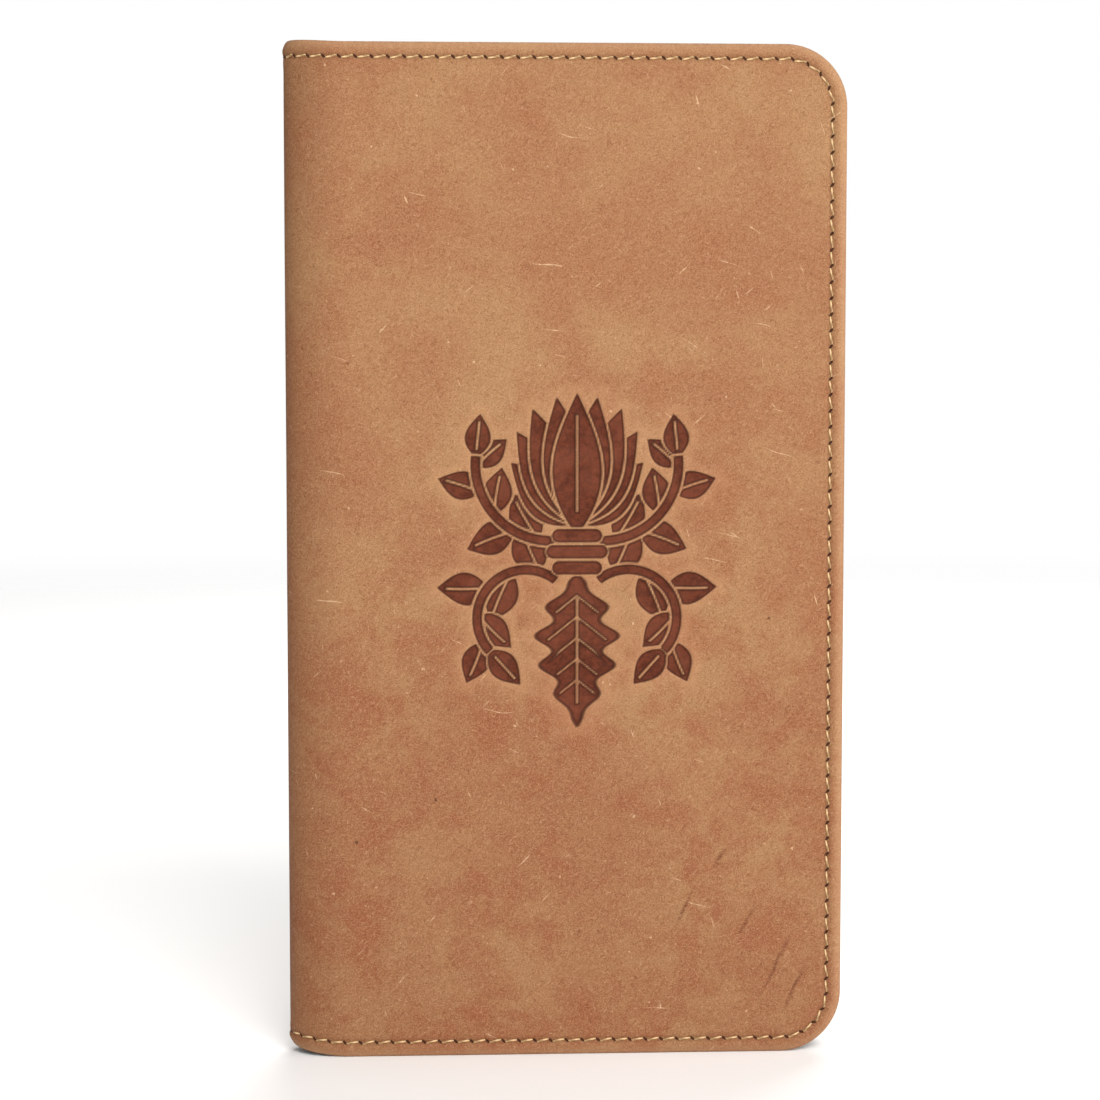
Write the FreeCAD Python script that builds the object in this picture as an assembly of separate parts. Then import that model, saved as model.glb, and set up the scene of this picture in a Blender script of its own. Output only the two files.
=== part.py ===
"""Slim leather cover for a tall pocket notebook, closed, standing on its tail edge.

Frame: +X runs from the spine to the fore-edge, the front cover faces -Y, +Z runs from tail to head.
The origin is the middle of the closed cover's footprint, on the plane that the tail edges stand on.
All sizes are in millimetres.  Depths are measured inwards from a cover's outer face.
"""
import FreeCAD, Part
import math
import os

from FreeCAD import Vector

# Outside of the closed cover
COVER_WIDTH = 122.0
COVER_HEIGHT = 221.0
COVER_THICKNESS = 15.0
CORNER_RADIUS = 13.5
BEND_RADIUS = 5.0

# The leather bends around each side of the spine through 90 degrees, counted from the flat cover.
# A slit between these two angles separates the cover's share of the bend from the spine's share.
COVER_BEND_END = 12.0
SPINE_BEND_START = 20.0

# Sheet thicknesses
LEATHER = 1.6
BOARD = 0.7
LINING = 0.5
CARD = 0.4
SLEEVE = 0.8
POCKET = 0.5

# Gaps between layers: glued, and free to slide
GLUE_GAP = 0.05
SLIP_GAP = 0.1

# Turned edge: the leather is folded back over itself along head, fore-edge and tail
HEM_WIDTH = 7.0
HEM_ROUND = 1.0
LINING_INSET = 1.5

# Sleeves and card pockets
SLEEVE_MOUTH_X = -36.0
SLEEVE_SEAM = 3.5
POCKET_LEFT = -33.5
POCKET_RIGHT = 54.5
POCKET_FOOT = 8.0
POCKET_TOPS = (98.0, 84.0, 70.0)
POCKET_CORNER = 3.0

# Stitching
STITCH_PITCH = 3.5
STITCH_LENGTH = 2.9
STITCH_RADIUS = 0.3
STITCH_INSET = 3.4
GROOVE_WIDTH = 0.9
GROOVE_DEPTH = 0.75
FINE_STITCH_RADIUS = 0.2
FINE_STITCH_LENGTH = 2.6
FINE_GROOVE_WIDTH = 0.6
FINE_GROOVE_DEPTH = 0.45
POCKET_SEAM = 2.0

# Notebook refill
NOTEBOOK_HEIGHT = 210.0
NOTEBOOK_CORNER = 6.0
CARD_FORE_X = 52.0
PAGE_FORE_X = 51.0
CARD_START_X = -49.5
CARD_SPINE_X = -57.0
CARD_SPINE_HALF_WIDTH = 1.2
PAGE_GROUPS = ("leaves_front_outer", "leaves_front_inner", "leaves_back_inner", "leaves_back_outer")
PAGE_START_X = (-55.0, -55.0, -55.6, -53.0)
PAGE_STEP = 0.6
STAPLE_WIRE = 0.4
STAPLE_LENGTH = 12.0
STAPLE_SPACING = 104.0
STAPLE_Y = 0.4
STAPLE_LEG = 0.85
STAPLE_HOLE_PLAY = 0.1

# Derived places
HALF_THICKNESS = COVER_THICKNESS / 2
SPINE_X = -COVER_WIDTH / 2
FORE_X = COVER_WIDTH / 2
BEND_X = SPINE_X + BEND_RADIUS
BEND_Y = -HALF_THICKNESS + BEND_RADIUS

BOARD_DEPTH = LEATHER + GLUE_GAP
EDGE_DEPTH = LEATHER + GLUE_GAP + BOARD
LINING_DEPTH = EDGE_DEPTH + GLUE_GAP
CARD_DEPTH = LINING_DEPTH + LINING + SLIP_GAP
SLEEVE_DEPTH = CARD_DEPTH + CARD + SLIP_GAP
SLEEVE_FACE = SLEEVE_DEPTH + SLEEVE
POCKET_DEPTHS = [SLEEVE_FACE + GLUE_GAP + n * (POCKET + GLUE_GAP) for n in range(len(POCKET_TOPS))]
POCKET_FACE = POCKET_DEPTHS[-1] + POCKET

NOTEBOOK_TAIL = (COVER_HEIGHT - NOTEBOOK_HEIGHT) / 2
NOTEBOOK_HEAD = COVER_HEIGHT - NOTEBOOK_TAIL
PAGES_FRONT_Y = -HALF_THICKNESS + POCKET_FACE + SLIP_GAP
PAGES_BACK_Y = HALF_THICKNESS - SLEEVE_FACE - SLIP_GAP


def export(name, solids):
    """Write one node: a single solid, or a group of separate solids."""
    shape = solids[0] if len(solids) == 1 else Part.makeCompound(solids)
    shape.exportStep("parts/" + name + ".step")


def to_back(solids):
    """The same pieces on the back cover: a mirror image across the closed cover's middle plane."""
    return [solid.mirror(Vector(0, 0, 0), Vector(0, 1, 0)) for solid in solids]


def box(low, high):
    return Part.makeBox(high[0] - low[0], high[1] - low[1], high[2] - low[2], Vector(*low))


def front_y(depth):
    """Y of a layer surface, at a depth inside the front cover's outer face."""
    return -HALF_THICKNESS + depth


def sheet(left, right, foot, head, radius, low_y, high_y):
    """Flat sheet in the XZ plane with its two fore-edge corners rounded."""
    turn = radius * (1 - math.sqrt(0.5))
    foot_arc = Part.Arc(
        Vector(right - radius, low_y, foot),
        Vector(right - turn, low_y, foot + turn),
        Vector(right, low_y, foot + radius),
    )
    head_arc = Part.Arc(
        Vector(right, low_y, head - radius),
        Vector(right - turn, low_y, head - turn),
        Vector(right - radius, low_y, head),
    )
    edges = [
        Part.makeLine(Vector(left, low_y, foot), Vector(right - radius, low_y, foot)),
        foot_arc.toShape(),
        Part.makeLine(Vector(right, low_y, foot + radius), Vector(right, low_y, head - radius)),
        head_arc.toShape(),
        Part.makeLine(Vector(right - radius, low_y, head), Vector(left, low_y, head)),
        Part.makeLine(Vector(left, low_y, head), Vector(left, low_y, foot)),
    ]
    return Part.Face(Part.Wire(edges)).extrude(Vector(0, high_y - low_y, 0))


def cover_layer(inset, depth_from, depth_to, left=BEND_X):
    """One flat layer of the front cover, set in from head, fore-edge and tail by the same amount."""
    return sheet(
        left, FORE_X - inset, inset, COVER_HEIGHT - inset, CORNER_RADIUS - inset,
        front_y(depth_from), front_y(depth_to),
    )


def edge_channel(depth, width, depth_from, left=BEND_X):
    """Channel for a row of stitches that follows head, fore-edge and tail."""
    outer = cover_layer(STITCH_INSET - width / 2, depth_from, depth_from + depth, left)
    inner = cover_layer(STITCH_INSET + width / 2, depth_from, depth_from + depth, left)
    return outer.cut(inner)


def bend(depth_from, depth_to, turn_from, turn_to, foot, head):
    """Part of the round bend between front cover (turn 0) and spine (turn 90 degrees)."""
    def point(depth, turn):
        radius = BEND_RADIUS - depth
        angle = math.radians(turn)
        return Vector(BEND_X - radius * math.sin(angle), BEND_Y - radius * math.cos(angle), foot)

    def arc(depth):
        middle = (turn_from + turn_to) / 2
        return Part.Arc(point(depth, turn_from), point(depth, middle), point(depth, turn_to)).toShape()

    edges = [
        arc(depth_from),
        Part.makeLine(point(depth_from, turn_to), point(depth_to, turn_to)),
        arc(depth_to),
        Part.makeLine(point(depth_to, turn_from), point(depth_from, turn_from)),
    ]
    return Part.Face(Part.Wire(edges)).extrude(Vector(0, 0, head - foot))


def bend_with_hems(turn_from, turn_to):
    """Leather around the bend: one sheet, doubled along head and tail by the turned edge."""
    middle = bend(0, LEATHER, turn_from, turn_to, 0, COVER_HEIGHT)
    tail_hem = bend(LEATHER, EDGE_DEPTH, turn_from, turn_to, 0, HEM_WIDTH)
    head_hem = bend(LEATHER, EDGE_DEPTH, turn_from, turn_to, COVER_HEIGHT - HEM_WIDTH, COVER_HEIGHT)
    return middle.fuse([tail_hem, head_hem])


def outer_leather_cover():
    panel = cover_layer(0, 0, EDGE_DEPTH)
    rim = []
    for edge in panel.Edges:
        ends = [vertex.Point for vertex in edge.Vertexes]
        on_outer_face = all(abs(end.y - front_y(0)) < GLUE_GAP for end in ends)
        at_bend = all(abs(end.x - BEND_X) < GLUE_GAP for end in ends)
        if on_outer_face and not at_bend:
            rim.append(edge)
    panel = panel.makeFillet(HEM_ROUND, rim)
    recess = cover_layer(HEM_WIDTH, LEATHER, EDGE_DEPTH)
    panel = panel.cut(recess).cut(edge_channel(GROOVE_DEPTH, GROOVE_WIDTH, 0))
    return panel.fuse(bend_with_hems(0, COVER_BEND_END)).removeSplitter()


def outer_leather_spine():
    inner_x = SPINE_X + LEATHER
    hem_x = SPINE_X + EDGE_DEPTH
    flat = box((SPINE_X, BEND_Y, 0), (inner_x, -BEND_Y, COVER_HEIGHT))
    tail_hem = box((inner_x, BEND_Y, 0), (hem_x, -BEND_Y, HEM_WIDTH))
    head_hem = box((inner_x, BEND_Y, COVER_HEIGHT - HEM_WIDTH), (hem_x, -BEND_Y, COVER_HEIGHT))
    front_bend = bend_with_hems(SPINE_BEND_START, 90)
    spine = flat.fuse([tail_hem, head_hem, front_bend] + to_back([front_bend]))
    for height in (STITCH_INSET, COVER_HEIGHT - STITCH_INSET):
        channel = box(
            (SPINE_X, BEND_Y, height - GROOVE_WIDTH / 2),
            (SPINE_X + GROOVE_DEPTH, -BEND_Y, height + GROOVE_WIDTH / 2),
        )
        spine = spine.cut(channel)
    return spine.removeSplitter()


def stiffener_board():
    return cover_layer(HEM_WIDTH + GLUE_GAP, BOARD_DEPTH, EDGE_DEPTH)


def spine_stiffener():
    return box(
        (SPINE_X + BOARD_DEPTH, BEND_Y, HEM_WIDTH + GLUE_GAP),
        (SPINE_X + EDGE_DEPTH, -BEND_Y, COVER_HEIGHT - HEM_WIDTH - GLUE_GAP),
    )


def cover_lining():
    flat = cover_layer(LINING_INSET, LINING_DEPTH, LINING_DEPTH + LINING)
    channel_depth = STITCH_RADIUS + GLUE_GAP
    channel = edge_channel(channel_depth, GROOVE_WIDTH, LINING_DEPTH + LINING - channel_depth)
    round_part = bend(
        LINING_DEPTH, LINING_DEPTH + LINING, 0, COVER_BEND_END,
        LINING_INSET, COVER_HEIGHT - LINING_INSET,
    )
    return flat.cut(channel).fuse(round_part).removeSplitter()


def spine_lining():
    foot = LINING_INSET
    head = COVER_HEIGHT - LINING_INSET
    flat = box((SPINE_X + LINING_DEPTH, BEND_Y, foot), (SPINE_X + LINING_DEPTH + LINING, -BEND_Y, head))
    front_bend = bend(LINING_DEPTH, LINING_DEPTH + LINING, SPINE_BEND_START, 90, foot, head)
    return flat.fuse([front_bend] + to_back([front_bend])).removeSplitter()


def sleeve():
    """Inner pocket for one card of the notebook: sewn on three sides, open towards the spine."""
    face = cover_layer(LINING_INSET, SLEEVE_DEPTH, SLEEVE_FACE, SLEEVE_MOUTH_X)
    seam_depth = LINING_DEPTH + LINING + GLUE_GAP
    seam = cover_layer(LINING_INSET, seam_depth, SLEEVE_DEPTH, SLEEVE_MOUTH_X)
    room = cover_layer(LINING_INSET + SLEEVE_SEAM, seam_depth, SLEEVE_DEPTH, SLEEVE_MOUTH_X)
    channel_depth = STITCH_RADIUS + GLUE_GAP
    channel = edge_channel(channel_depth, GROOVE_WIDTH, SLEEVE_FACE - channel_depth, SLEEVE_MOUTH_X)
    return face.fuse(seam.cut(room)).cut(channel).removeSplitter()


def pocket_sheet(number):
    """Card pocket, rounded at its two foot corners; the next pocket covers its lower part."""
    low_y = front_y(POCKET_DEPTHS[number])
    sheet_box = box((POCKET_LEFT, low_y, POCKET_FOOT), (POCKET_RIGHT, low_y + POCKET, POCKET_TOPS[number]))
    corners = []
    for edge in sheet_box.Edges:
        ends = [vertex.Point for vertex in edge.Vertexes]
        if all(abs(end.z - POCKET_FOOT) < GLUE_GAP for end in ends) and abs(ends[0].y - ends[1].y) > GLUE_GAP:
            corners.append(edge)
    return sheet_box.makeFillet(POCKET_CORNER, corners)


def pocket_seam_rows(number):
    """Start and end of the visible side rows of one pocket, and of the foot row on the last one."""
    last = number == len(POCKET_TOPS) - 1
    foot = POCKET_FOOT + POCKET_SEAM if last else POCKET_TOPS[number + 1]
    left = POCKET_LEFT + POCKET_SEAM
    right = POCKET_RIGHT - POCKET_SEAM
    rows = [((x, foot), (x, POCKET_TOPS[number])) for x in (left, right)]
    if last:
        rows.append(((left, foot), (right, foot)))
    return rows


def card_pocket(number):
    pocket = pocket_sheet(number)
    half = FINE_GROOVE_WIDTH / 2
    face_y = front_y(POCKET_DEPTHS[number] + POCKET)
    for start, end in pocket_seam_rows(number):
        channel = box(
            (start[0] - half, face_y - FINE_GROOVE_DEPTH, start[1] - half),
            (end[0] + half, face_y, end[1] + half),
        )
        pocket = pocket.cut(channel)
    return pocket


def thread(place, direction, length, radius):
    """One visible stitch: a short straight run of thread."""
    return Part.makeCylinder(radius, length, place - direction * (length / 2), direction)


def pocket_stitches():
    threads = []
    for number, depth in enumerate(POCKET_DEPTHS):
        y = front_y(depth + POCKET - GLUE_GAP / 2 - FINE_STITCH_RADIUS)
        for start, end in pocket_seam_rows(number):
            first = Vector(start[0], y, start[1])
            run = Vector(end[0], y, end[1]) - first
            direction = Vector(run).normalize()
            count = int(run.Length / STITCH_PITCH)
            for place in range(count):
                centre = first + direction * ((place + 0.5) * run.Length / count)
                threads.append(thread(centre, direction, FINE_STITCH_LENGTH, FINE_STITCH_RADIUS))
    return threads


def edge_row():
    """Place and direction of each stitch along tail, fore-edge and head of the front cover."""
    radius = CORNER_RADIUS - STITCH_INSET
    turn_x = FORE_X - CORNER_RADIUS
    straight = turn_x - BEND_X
    corner = radius * math.pi / 2
    side = COVER_HEIGHT - 2 * CORNER_RADIUS
    total = 2 * straight + 2 * corner + side
    count = int(total / STITCH_PITCH)
    row = []
    for number in range(count):
        distance = (number + 0.5) * total / count
        if distance < straight:
            row.append((BEND_X + distance, STITCH_INSET, 0.0))
            continue
        distance -= straight
        if distance < corner:
            turn = distance / radius
            row.append((turn_x + radius * math.sin(turn), CORNER_RADIUS - radius * math.cos(turn), turn))
            continue
        distance -= corner
        if distance < side:
            row.append((FORE_X - STITCH_INSET, CORNER_RADIUS + distance, math.pi / 2))
            continue
        distance -= side
        if distance < corner:
            turn = distance / radius
            z = COVER_HEIGHT - CORNER_RADIUS + radius * math.sin(turn)
            row.append((turn_x + radius * math.cos(turn), z, math.pi / 2 + turn))
            continue
        distance -= corner
        row.append((turn_x - distance, COVER_HEIGHT - STITCH_INSET, math.pi))
    return row


def cover_edge_stitches():
    """The edge row of one cover: each stitch shows on the outside and again on the inside."""
    outside_y = front_y(GLUE_GAP + STITCH_RADIUS)
    threads = []
    for x, z, turn in edge_row():
        direction = Vector(math.cos(turn), 0, math.sin(turn))
        inner_face = SLEEVE_FACE if x - STITCH_LENGTH > SLEEVE_MOUTH_X else LINING_DEPTH + LINING
        crosses_mouth = abs(x - SLEEVE_MOUTH_X) < STITCH_LENGTH
        threads.append(thread(Vector(x, outside_y, z), direction, STITCH_LENGTH, STITCH_RADIUS))
        if not crosses_mouth:
            threads.append(thread(Vector(x, front_y(inner_face), z), direction, STITCH_LENGTH, STITCH_RADIUS))
    return threads


def spine_edge_stitches():
    threads = []
    x = SPINE_X + GLUE_GAP + STITCH_RADIUS
    for z in (STITCH_INSET, COVER_HEIGHT - STITCH_INSET):
        threads.append(thread(Vector(x, 0, z), Vector(0, 1, 0), STITCH_LENGTH, STITCH_RADIUS))
    return threads


def notebook_sheet(start_x, fore_x, low_y, high_y):
    return sheet(start_x, fore_x, NOTEBOOK_TAIL, NOTEBOOK_HEAD, NOTEBOOK_CORNER, low_y, high_y)


def notebook_card():
    """Card cover of the notebook on the front side; it stops short of the fold."""
    return notebook_sheet(CARD_START_X, CARD_FORE_X, front_y(CARD_DEPTH), front_y(CARD_DEPTH + CARD))


def staple_leg_heights():
    middle = COVER_HEIGHT / 2
    reach = (STAPLE_LENGTH - STAPLE_WIRE) / 2
    centres = (middle - STAPLE_SPACING / 2, middle + STAPLE_SPACING / 2)
    return [(centre - reach, centre + reach) for centre in centres]


def wire_box(x_low, x_high, z_low, z_high, play=0.0):
    half = STAPLE_WIRE / 2 + play
    return box((x_low, STAPLE_Y - half, z_low - half), (x_high, STAPLE_Y + half, z_high + half))


def notebook_card_spine():
    """Narrow strip of the notebook's card along its fold, pierced for the staples."""
    strip = box(
        (CARD_SPINE_X, -CARD_SPINE_HALF_WIDTH, NOTEBOOK_TAIL),
        (CARD_SPINE_X + CARD, CARD_SPINE_HALF_WIDTH, NOTEBOOK_HEAD),
    )
    for heights in staple_leg_heights():
        for z in heights:
            strip = strip.cut(wire_box(CARD_SPINE_X - CARD, CARD_SPINE_X + 2 * CARD, z, z, STAPLE_HOLE_PLAY))
    return strip


def staples():
    crown_inside_x = CARD_SPINE_X - GLUE_GAP
    pieces = []
    for low, high in staple_leg_heights():
        crown = wire_box(crown_inside_x - STAPLE_WIRE, crown_inside_x, low, high)
        legs = [wire_box(crown_inside_x, crown_inside_x + STAPLE_LEG, z, z) for z in (low, high)]
        pieces.append(crown.fuse(legs).removeSplitter())
    return pieces


def page_group(number):
    """A quarter of the leaves as one slab; inner leaves reach further out at the fore-edge."""
    count = len(PAGE_GROUPS)
    thickness = (PAGES_BACK_Y - PAGES_FRONT_Y - (count - 1) * GLUE_GAP) / count
    low_y = PAGES_FRONT_Y + number * (thickness + GLUE_GAP)
    is_outer = number in (0, count - 1)
    fore_x = PAGE_FORE_X - (PAGE_STEP if is_outer else 0)
    return notebook_sheet(PAGE_START_X[number], fore_x, low_y, low_y + thickness)


def build():
    os.makedirs("parts", exist_ok=True)
    leather = outer_leather_cover()
    board = stiffener_board()
    lining = cover_lining()
    inner_sleeve = sleeve()
    edge_stitches = cover_edge_stitches()
    card = notebook_card()

    export("outer_leather_front", [leather])
    export("outer_leather_back", to_back([leather]))
    export("outer_leather_spine", [outer_leather_spine()])
    export("stiffener_board_front", [board])
    export("stiffener_board_back", to_back([board]))
    export("spine_stiffener", [spine_stiffener()])
    export("lining_front", [lining])
    export("lining_back", to_back([lining]))
    export("lining_spine", [spine_lining()])
    export("sleeve_front", [inner_sleeve])
    export("sleeve_back", to_back([inner_sleeve]))
    for number, name in enumerate(("upper", "middle", "lower")):
        export("card_pocket_" + name, [card_pocket(number)])
    export("card_pocket_stitching", pocket_stitches())
    export("edge_stitching_front", edge_stitches)
    export("edge_stitching_back", to_back(edge_stitches))
    export("edge_stitching_spine", spine_edge_stitches())
    export("notebook_card_front", [card])
    export("notebook_card_back", to_back([card]))
    export("notebook_card_spine", [notebook_card_spine()])
    export("notebook_staples", staples())
    for number, name in enumerate(PAGE_GROUPS):
        export(name, [page_group(number)])


build()
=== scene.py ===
"""Looks of a slim leather notebook cover with a debossed leaf ornament and a notebook inside.

Lengths are in millimetres until a mesh is made; the frame itself is in metres.
Points on the cover are given by three lengths: u, round from the middle of the spine towards the
fore-edge; v, up from the tail; and depth, inwards from the outer face.  side is 1 for the front
cover, which faces -Y, and -1 for the back cover.
"""

import math

import bmesh
import bpy
import numpy as np
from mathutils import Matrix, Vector


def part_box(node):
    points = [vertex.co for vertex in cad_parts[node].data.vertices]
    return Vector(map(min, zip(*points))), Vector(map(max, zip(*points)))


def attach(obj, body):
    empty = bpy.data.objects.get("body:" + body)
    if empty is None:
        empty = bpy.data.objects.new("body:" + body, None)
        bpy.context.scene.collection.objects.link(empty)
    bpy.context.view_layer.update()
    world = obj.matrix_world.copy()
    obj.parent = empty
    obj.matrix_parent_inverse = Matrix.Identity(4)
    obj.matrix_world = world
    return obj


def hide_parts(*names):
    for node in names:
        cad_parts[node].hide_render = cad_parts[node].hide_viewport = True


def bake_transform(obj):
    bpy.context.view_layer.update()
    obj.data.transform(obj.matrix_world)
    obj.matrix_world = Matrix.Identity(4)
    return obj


MM = 0.001

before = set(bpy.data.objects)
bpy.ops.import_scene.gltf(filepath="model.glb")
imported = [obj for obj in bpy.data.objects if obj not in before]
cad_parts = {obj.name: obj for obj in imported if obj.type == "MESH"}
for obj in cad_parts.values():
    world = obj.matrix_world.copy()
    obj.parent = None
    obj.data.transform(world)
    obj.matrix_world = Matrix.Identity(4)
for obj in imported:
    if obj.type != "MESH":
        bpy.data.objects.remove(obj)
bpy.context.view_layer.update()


def corners(node):
    """Lowest and highest corner of a CAD node, in millimetres."""
    low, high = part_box(node)
    return low / MM, high / MM


def depths(node):
    """How deep a flat layer of the front cover starts and ends under the cover's outer face."""
    low, high = corners(node)
    return HALF_THICKNESS + low.y, HALF_THICKNESS + high.y


# Names and signs of the two covers
COVERS = (("front", 1), ("back", -1))

# ---------------- sizes

# Outside of the closed cover
SPINE_X = corners("outer_leather_spine")[0].x
FORE_X = corners("outer_leather_front")[1].x
COVER_HEIGHT = corners("outer_leather_front")[1].z
HALF_THICKNESS = -corners("outer_leather_front")[0].y
CORNER_RADIUS = 13.5

# The leather rounds over from each cover into the spine as a quarter of an ellipse
BEND_REACH = 13.0
BEND_X = SPINE_X + BEND_REACH

# The fold of the spine is drawn in at the tail and stands a little proud at the head
TAIL_DRAW = 1.7
HEAD_LIFT = 0.6
DRAW_REACH = 17.0
END_REACH = 12.0

# The layers are pared thin where the cover folds, below a skin that keeps its full depth
PARED_SHARE = 0.9
SKIN = 0.4

# Layers
BOARD_DEPTH, HEM_DEPTH = depths("stiffener_board_front")
LEATHER = BOARD_DEPTH - 0.05
LINING_DEPTH = depths("lining_front")[0]
LINING = 0.5
LINING_INSET = 1.5
HEM_WIDTH = 7.0
LONG_STEP = 12.0
POCKET_SEAM = 2.0
CARD_DEPTH, CARD_FACE = depths("notebook_card_front")
SLEEVE_FACE = depths("sleeve_front")[1]
SLEEVE = 0.8
SLEEVE_MOUTH_X = corners("sleeve_front")[0].x
NOTEBOOK_TAIL = corners("notebook_card_front")[0].z
NOTEBOOK_CORNER = 6.0
FOLD_X = corners("notebook_card_spine")[0].x

# Near its fold the card closes in on the leaves, which leaves room for the cover's folds
CARD_SINK = 0.95
CARD_SINK_REACH = 6.0

# The strip along the fold of the card, in degrees round the fold: it stays out of the open gutter
STRIP_START = -4.0
STRIP_END = 22.0

# Leaves: how far the sheets nest inside one another, how far their patterns are apart, and where
# their rounding starts
LEAVES_PER_GROUP = 9
LEAF = 0.1
LEAF_NEST = 0.1
FIRST_LEAF_GAP = 0.55
LEAF_APART = 7.0
LEAF_NOSE_X = corners("notebook_card_front")[0].x + 0.5
PAGE_GROUPS = (
    ("leaves_front_outer", "leaves_1", 0),
    ("leaves_front_inner", "leaves_2", 1),
    ("leaves_back_inner", "leaves_3", 2),
    ("leaves_back_outer", "notebook", 3),
)

# Stitching along head, fore-edge and tail
STITCH_PITCH = 3.5
STITCH_INSET = 3.3
STITCH_LENGTH = 3.05
STITCH_RADIUS = 0.21
STITCH_SLANT = 0.32
VALLEY_DEPTH = 0.34

# Creases near the lower fore-edge corner, drawn only as painted shade: how far in from the
# fore-edge, how high up, how long
CREASES = (
    (13.0, 21.0, 22.0),
    (9.0, 15.5, 17.0),
    (33.5, 33.5, 13.0),
    (26.0, 45.0, 8.0),
    (20.0, 31.0, 10.0),
)
CREASE_SLOPE = 62.0
CREASE_HALF_WIDTH = 0.75

# Scratches: their direction in degrees, how much they are stretched, and how many are drawn
SCRATCHES = (
    (10, 0.022, 0.3),
    (26, 0.045, 0.4),
    (-46, 0.05, 0.35),
    (72, 0.07, 0.3),
)

# The leather's stored coordinates keep the two covers apart in the patterns by a third number
FRONT_LAYER = 300.0

# Ornament pressed into the front cover
ORNAMENT_X = 2.4
ORNAMENT_Z = 109.3
ORNAMENT_HALF_WIDTH = 29.8
ORNAMENT_HALF_HEIGHT = 36.4
STAMP_DEPTH = 0.42
STAMP_CELL = 0.4
NO_STAMP = 9.0
RIB_HALF_WIDTH = 0.36
VEIN_SPACING = 4.6
STEM_HALF_WIDTH = 0.95

# Floor.  White surround: its strength as light and as seen.  Lamps: place, size and power.  All
# lengths here are in metres
FLOOR_RADIUS = 2.0
WORLD_LIGHT = 0.32
WORLD_SEEN = 1.0
SOFTBOXES = (
    ("key", (0.4, -1.1, 0.98), (0.9, 0.7), 20.0),
    ("fill", (-0.1, -1.4, 0.3), (0.8, 0.8), 5.5),
    ("back", (0.3, 1.0, 1.0), (1.0, 0.8), 14.0),
    ("side", (1.2, -0.1, 0.4), (0.6, 0.6), 5.0),
)

# Camera, with its turn to the right and its tilt down in degrees
CAMERA_PLACE = (-30.7, -551.7, 150.4)
CAMERA_YAW = 2.86
CAMERA_PITCH = 4.06
CAMERA_LENS = 82.2


# ---------------- shapes of the cover's surfaces

def smooth(value, low, high):
    """Rises softly from 0 at low to 1 at high."""
    share = np.clip((value - low) / (high - low), 0, 1)
    return share * share * (3 - 2 * share)


def bell(value, width):
    return np.exp(-((value / width) ** 2))


TURNS = np.linspace(0, math.pi / 2, 300)
TURN_STEPS = np.hypot(
    np.diff(BEND_REACH * np.cos(TURNS)),
    np.diff(HALF_THICKNESS * np.sin(TURNS)),
)
TURN_LENGTHS = np.concatenate([[0.0], np.cumsum(TURN_STEPS)])
BEND_LENGTH = TURN_LENGTHS[-1]
COVER_LENGTH = BEND_LENGTH + FORE_X - BEND_X


def u_at(x):
    """Length round the cover at which the flat part reaches x."""
    return BEND_LENGTH + x - BEND_X


def settled(u, v):
    """Height once the fold of the spine has been drawn in at the tail and lifted at the head."""
    near_spine = 1 - smooth(np.abs(u), 0, DRAW_REACH)
    near_tail = 1 - smooth(v, 0, END_REACH)
    near_head = smooth(v, COVER_HEIGHT - END_REACH, COVER_HEIGHT)
    return v + near_spine * (TAIL_DRAW * near_tail + HEAD_LIFT * near_head)


def on_cover(u, v, depth, side):
    """Points on or under the cover's outer face.  A negative u lies round on the other side."""
    v = settled(u, v)
    side = side * np.where(np.asarray(u) < 0, -1, 1)
    turn = np.interp(np.abs(u), TURN_LENGTHS, TURNS)
    flat = np.maximum(np.abs(u) - BEND_LENGTH, 0)
    out_x = -HALF_THICKNESS * np.cos(turn)
    out_y = -BEND_REACH * np.sin(turn)
    size = np.hypot(out_x, out_y)
    depth = depth - PARED_SHARE * np.sin(2 * turn) ** 2 * np.maximum(depth - SKIN, 0)
    x = BEND_X - BEND_REACH * np.cos(turn) + flat - depth * out_x / size
    y = -HALF_THICKNESS * np.sin(turn) - depth * out_y / size
    return np.stack(np.broadcast_arrays(x, side * y, v), axis=-1)


class Outline:
    """A rectangle in u and v with rounded corners on the right and, if asked, on the left."""

    def __init__(self, left, right, foot, head, radius, left_radius=0.0, left_is_edge=True):
        self.left, self.right, self.foot, self.head = left, right, foot, head
        self.radius, self.left_radius, self.left_is_edge = radius, left_radius, left_is_edge

    def place(self, u, v):
        """Moves grid points onto the outline; also gives each one's distance from the edge."""
        u, v = u.copy(), v.copy()
        edge = np.minimum(np.minimum(v - self.foot, self.head - v), self.right - u)
        if self.left_is_edge:
            edge = np.minimum(edge, u - self.left)
        ends = [(self.right - self.radius, 1, self.radius)]
        if self.left_radius:
            ends.append((self.left + self.left_radius, -1, self.left_radius))
        for centre_u, way_u, radius in ends:
            for centre_v, way_v in ((self.foot + radius, -1), (self.head - radius, 1)):
                du = (u - centre_u) * way_u / radius
                dv = (v - centre_v) * way_v / radius
                at_corner = (du > 0) & (dv > 0)
                reach = np.maximum(du, dv)
                low, high = np.minimum(du, dv), np.where(reach > 0, reach, 1)
                turn = low / high * math.pi / 4
                turn = np.where(dv > du, math.pi / 2 - turn, turn)
                u = np.where(at_corner, centre_u + way_u * radius * reach * np.cos(turn), u)
                v = np.where(at_corner, centre_v + way_v * radius * reach * np.sin(turn), v)
                edge = np.where(at_corner, radius * (1 - reach), edge)
        return u, v, edge

    def inward(self, u, v):
        """Unit direction from each point of the right-hand outline towards the inside."""
        to_u = np.minimum(u, self.right - self.radius) - u
        to_v = np.clip(v, self.foot + self.radius, self.head - self.radius) - v
        return to_u / self.radius, to_v / self.radius


COVER = Outline(0, COVER_LENGTH, 0, COVER_HEIGHT, CORNER_RADIUS, left_is_edge=False)


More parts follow.
